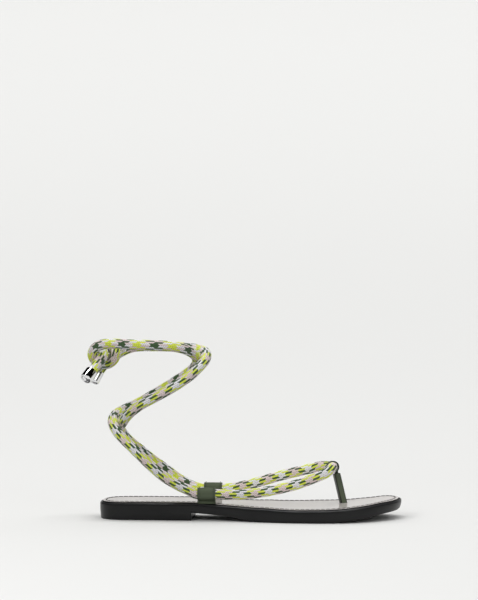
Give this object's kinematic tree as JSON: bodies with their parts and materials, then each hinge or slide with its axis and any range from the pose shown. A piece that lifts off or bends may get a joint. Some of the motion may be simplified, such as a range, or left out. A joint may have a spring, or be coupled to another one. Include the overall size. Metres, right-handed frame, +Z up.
{
  "type": "wrap sandal",
  "caption": "Flat thong sandal whose upper is a braided rope: it runs through a loop on the toe post and loops beside the sole, crosses round the ankle and ends in a knot with metal tips.",
  "frame": {"origin": "under the middle of the sole, on the floor plane", "axes": "+X from heel to toe, +Y to the inner side of the right foot, +Z up"},
  "size_m": [0.2651, 0.0868, 0.1515],
  "materials": {
    "sole": "satin black",
    "insole_edge": "inked black edge",
    "insole": "smooth, slightly glossy, pale greige with a black stitch line",
    "strap_leather": "smooth dark olive green",
    "rope": "braid of lime, dark green, pale pink and off-white yarns",
    "tip_metal": "polished"
  },
  "bodies": {
    "root": {"outsole": "sole", "insole_board": "insole_edge", "insole_cover": "insole", "toe_post": "strap_leather", "toe_loop": "strap_leather", "side_loop_outer": "strap_leather", "side_loop_inner": "strap_leather", "rope_wrap": "rope", "rope_end_outer": "rope", "rope_end_inner": "rope", "cord_tip_outer": "tip_metal", "cord_tip_inner": "tip_metal"}
  },
  "joints": []
}
